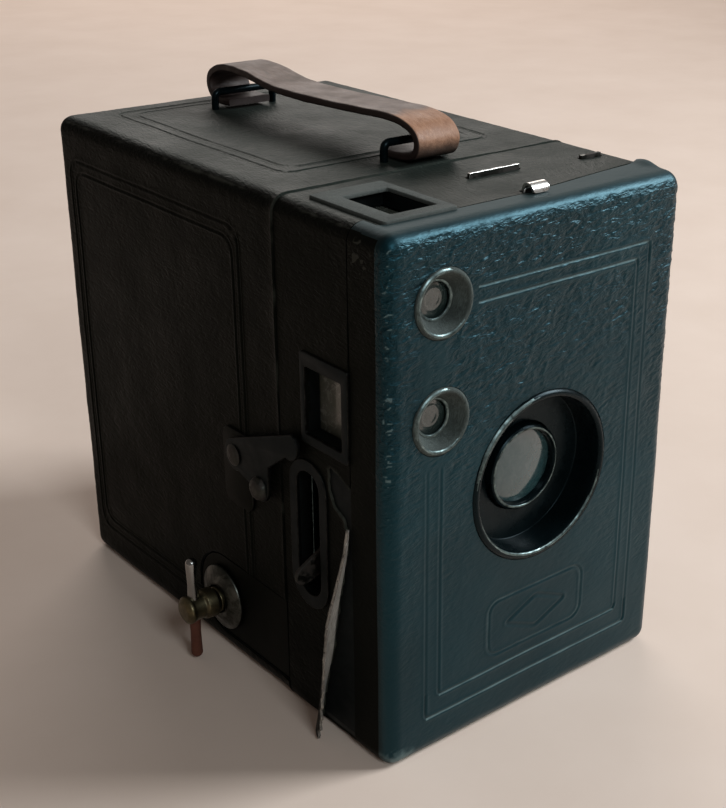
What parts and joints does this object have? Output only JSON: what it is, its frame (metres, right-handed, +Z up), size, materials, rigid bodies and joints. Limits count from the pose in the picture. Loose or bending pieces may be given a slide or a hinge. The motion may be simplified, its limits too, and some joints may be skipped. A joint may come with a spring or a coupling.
{
  "type": "box camera",
  "caption": "Leather-covered roll-film box camera: front section with lens, shutter and two finders slides out of a rear shell with carrying strap, latches and winding key.",
  "frame": {"origin": "middle of the width on the flat bottom of the rear shell, halfway between the camera's front and back faces", "axes": "+X to the right seen from the front, the lens looks along -Y, +Z up"},
  "size_m": [0.0952, 0.1285, 0.1271],
  "materials": {
    "body_leather": "black pebbled covering, worn satin",
    "strap_leather": "smooth brown strap leather, worn",
    "black_lacquer": "black lacquer, edges worn bright",
    "nickel": "dull nickel plating",
    "worn_brass": "tarnished",
    "lens_glass": "polished",
    "red_glass": "polished, dark red",
    "mirror": "silvered",
    "spool_wood": "turned, oiled"
  },
  "bodies": {
    "camera_back": {"rear_shell": "body_leather", "red_window_ring": "nickel", "red_window": "red_glass", "tripod_bush_bottom": "nickel", "tripod_bush_side": "nickel", "strap": "strap_leather", "strap_lug_back": "nickel", "strap_lug_front": "nickel", "latch_plate_left": "black_lacquer", "latch_plate_right": "black_lacquer", "latch_rivet_left": "nickel", "latch_rivet_right": "nickel"},
    "camera_front": {"front_body": "body_leather", "front_panel": "body_leather", "leather_flap": "body_leather", "lens_well": "black_lacquer", "lens_barrel": "black_lacquer", "lens_glass": "lens_glass", "finder_ring_upper": "black_lacquer", "finder_ring_lower": "black_lacquer", "finder_lens_upper": "lens_glass", "finder_lens_lower": "lens_glass", "finder_mirror_top": "mirror", "finder_mirror_side": "mirror", "finder_top_frame": "black_lacquer", "finder_top_glass": "lens_glass", "finder_side_frame": "black_lacquer", "finder_side_glass": "lens_glass", "lever_escutcheon": "black_lacquer", "shutter_plate": "black_lacquer", "latch_stud_left": "nickel", "latch_stud_right": "nickel", "light_cone": "black_lacquer", "insert_plate_left": "black_lacquer", "insert_plate_right": "black_lacquer", "film_gate": "black_lacquer", "spool_pin_supply_left": "nickel", "spool_pin_supply_right": "nickel", "spool_pin_takeup": "nickel", "spool_spring_supply": "nickel", "spool_spring_takeup": "nickel", "key_plate": "body_leather", "key_escutcheon": "nickel"},
    "latch_left": {"latch_hook_left": "black_lacquer"},
    "latch_right": {"latch_hook_right": "black_lacquer"},
    "lever": {"shutter_lever": "nickel"},
    "disc": {"shutter_disc": "black_lacquer"},
    "aperture": {"aperture_slide": "nickel"},
    "time_setting": {"time_slide": "nickel"},
    "close_up": {"close_up_slide": "nickel", "close_up_lens": "lens_glass"},
    "supply": {"supply_spool": "spool_wood"},
    "takeup": {"takeup_spool": "spool_wood"},
    "roller_bottom": {"film_roller_bottom": "nickel"},
    "roller_top": {"film_roller_top": "nickel"},
    "sleeve": {"key_sleeve": "worn_brass"},
    "key": {"key_shaft": "nickel", "key_wing": "worn_brass"}
  },
  "joints": [
    {"name": "front_pull", "type": "slide", "parent": "camera_back", "child": "camera_front", "axis": [0, -1, 0], "range_m": [0, 0.1]},
    {"name": "latch_left_swing", "type": "hinge", "parent": "camera_back", "child": "latch_left", "pos_m": [-0.0418, -0.0125, 0.0555], "axis": [-1, 0, 0], "range_deg": [0, 55]},
    {"name": "latch_right_swing", "type": "hinge", "parent": "camera_back", "child": "latch_right", "pos_m": [0.0418, -0.0125, 0.0555], "axis": [-1, 0, 0], "range_deg": [0, 55]},
    {"name": "shutter_release", "type": "hinge", "parent": "camera_front", "child": "lever", "pos_m": [-0.02, -0.0381, 0.047], "axis": [0, 1, 0], "range_deg": [0, 48]},
    {"name": "shutter_turn", "type": "hinge", "parent": "camera_front", "child": "disc", "pos_m": [0.01, -0.0447, 0.042], "axis": [0, 1, 0], "range_deg": [0, 72]},
    {"name": "aperture_set", "type": "slide", "parent": "camera_front", "child": "aperture", "axis": [0, 0, 1], "range_m": [0, 0.018]},
    {"name": "time_set", "type": "slide", "parent": "camera_front", "child": "time_setting", "axis": [0, 0, 1], "range_m": [0, 0.004]},
    {"name": "close_up_set", "type": "slide", "parent": "camera_front", "child": "close_up", "axis": [0, 0, 1], "range_m": [0, 0.022]},
    {"name": "supply_turn", "type": "hinge", "parent": "camera_front", "child": "supply", "pos_m": [0, -0.0015, 0.1023], "axis": [1, 0, 0], "continuous": true},
    {"name": "takeup_turn", "type": "hinge", "parent": "camera_front", "child": "takeup", "pos_m": [0, -0.0015, 0.0137], "axis": [1, 0, 0], "continuous": true},
    {"name": "roller_bottom_turn", "type": "hinge", "parent": "camera_front", "child": "roller_bottom", "pos_m": [0, 0.0556, 0.0088], "axis": [1, 0, 0], "continuous": true},
    {"name": "roller_top_turn", "type": "hinge", "parent": "camera_front", "child": "roller_top", "pos_m": [0, 0.0556, 0.1072], "axis": [1, 0, 0], "continuous": true},
    {"name": "key_turn", "type": "hinge", "parent": "camera_front", "child": "sleeve", "pos_m": [-0.04, -0.0015, 0.0137], "axis": [1, 0, 0], "continuous": true},
    {"name": "key_pull", "type": "slide", "parent": "sleeve", "child": "key", "axis": [-1, 0, 0], "range_m": [0, 0.008]}
  ],
  "couplings": [
    {"joint": "shutter_turn", "follows": "shutter_release", "ratio": 1.5},
    {"joint": "takeup_turn", "follows": "key_turn", "ratio": 1}
  ]
}
